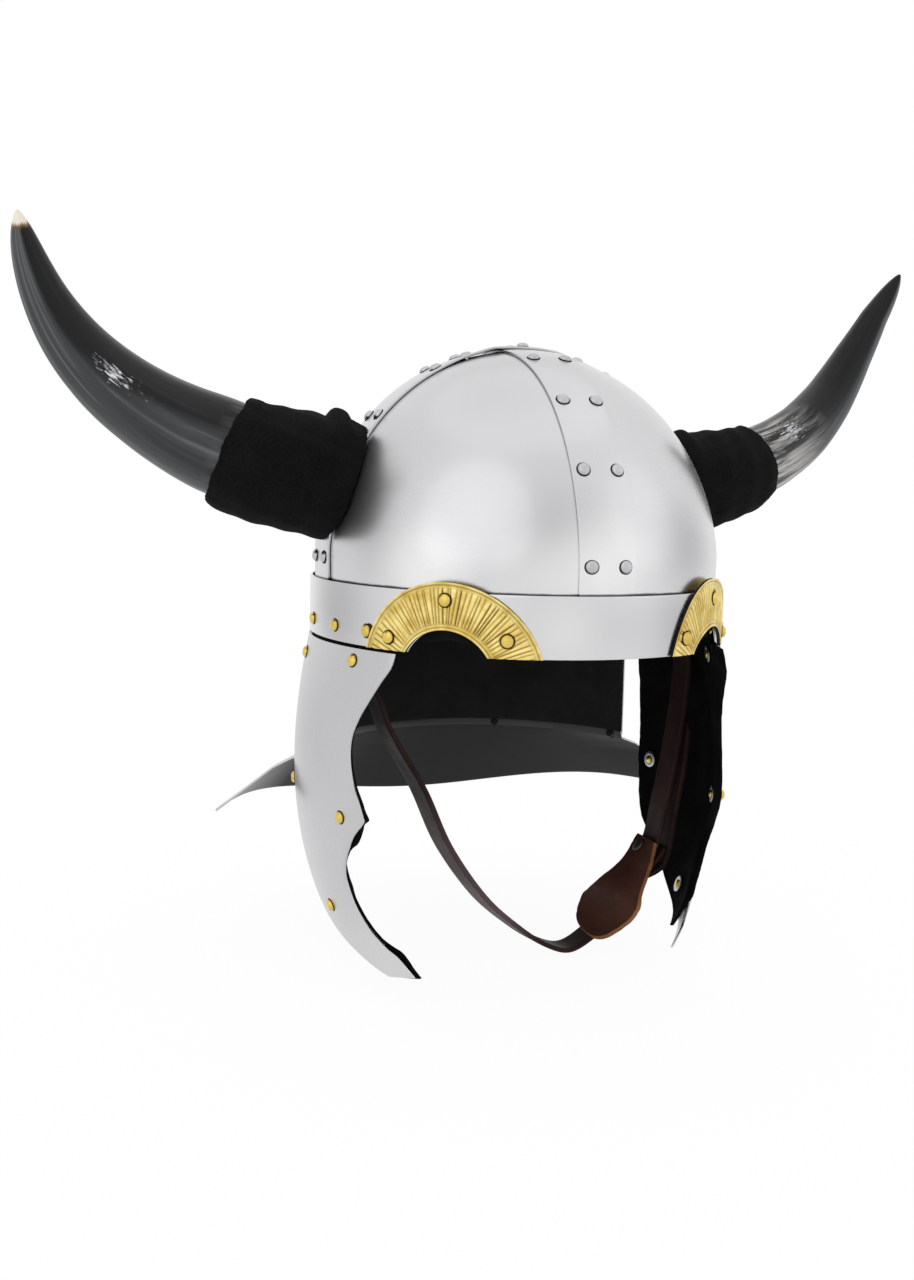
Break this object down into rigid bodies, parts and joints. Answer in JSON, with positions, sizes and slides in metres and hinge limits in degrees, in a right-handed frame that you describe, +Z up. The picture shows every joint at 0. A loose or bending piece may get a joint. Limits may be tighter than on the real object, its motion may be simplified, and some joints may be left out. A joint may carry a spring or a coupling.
{
  "type": "horned helmet",
  "caption": "Riveted steel helmet with brass eyebrow plates, hinged cheek and neck guards, two horns in suede sleeves and a chin strap.",
  "frame": {"origin": "middle of the bowl's opening, level with the brow band's lower edge, where the head goes in", "axes": "+X to the wearer's left, the face looks along -Y, +Z up through the crown"},
  "size_m": [0.4926, 0.2802, 0.3759],
  "materials": {
    "black_leather": "matt",
    "black_suede": "napped",
    "brass_fittings": "satin",
    "brass_sheet": "engraved, satin",
    "brown_leather": "satin",
    "dark_horn": "scraped and polished horn",
    "liner_leather": "matt",
    "plug_wood": "plain",
    "polished_steel": "polished",
    "rivet_steel": "satin",
    "shield_leather": "satin"
  },
  "bodies": {
    "helmet": {"skull_panel_front_right": "polished_steel", "skull_panel_front_left": "polished_steel", "skull_panel_rear_right": "polished_steel", "skull_panel_rear_left": "polished_steel", "brow_band": "polished_steel", "front_back_band": "polished_steel", "ear_to_ear_band": "polished_steel", "band_rivets": "rivet_steel", "eyebrow_plate_right": "brass_sheet", "eyebrow_plate_left": "brass_sheet", "eyebrow_rivets": "brass_fittings", "brow_rivets": "brass_fittings", "hinge_leather_right": "black_leather", "hinge_leather_left": "black_leather", "hinge_leather_neck": "black_leather", "horn_right": "dark_horn", "horn_left": "dark_horn", "horn_plug_right": "plug_wood", "horn_plug_left": "plug_wood", "horn_bolts": "rivet_steel", "horn_washers": "rivet_steel", "horn_sleeve_right": "black_suede", "horn_sleeve_left": "black_suede", "liner_band": "liner_leather", "liner_tongues": "liner_leather", "liner_lace": "brown_leather", "chin_strap_long": "brown_leather", "chin_strap_short": "brown_leather", "buckle_frame": "brass_fittings", "buckle_shield": "shield_leather", "shield_rivet": "rivet_steel"},
    "cheek_guard_right_body": {"cheek_plate_right": "polished_steel", "cheek_lining_right": "black_leather", "cheek_rivets_right": "brass_fittings", "cheek_washers_right": "rivet_steel"},
    "cheek_guard_left_body": {"cheek_plate_left": "polished_steel", "cheek_lining_left": "black_leather", "cheek_rivets_left": "brass_fittings", "cheek_washers_left": "rivet_steel"},
    "neck_guard_body": {"neck_plate": "polished_steel", "neck_lining": "black_leather", "neck_flare": "polished_steel", "neck_rivets": "rivet_steel"},
    "prong": {"buckle_prong": "brass_fittings"}
  },
  "joints": [
    {"name": "cheek_guard_right", "type": "hinge", "parent": "helmet", "child": "cheek_guard_right_body", "pos_m": [-0.1036, -0.012, 0], "axis": [-0.108, 0.9941, 0], "range_deg": [-3, 30]},
    {"name": "cheek_guard_left", "type": "hinge", "parent": "helmet", "child": "cheek_guard_left_body", "pos_m": [0.1036, -0.012, 0], "axis": [-0.108, -0.9941, 0], "range_deg": [-3, 30]},
    {"name": "neck_guard", "type": "hinge", "parent": "helmet", "child": "neck_guard_body", "pos_m": [0, 0.118, 0], "axis": [1, 0, 0], "range_deg": [0, 6]},
    {"name": "buckle_prong", "type": "hinge", "parent": "helmet", "child": "prong", "pos_m": [0.077, -0.0098, -0.126], "axis": [0, -1, 0], "range_deg": [0, 12]}
  ]
}
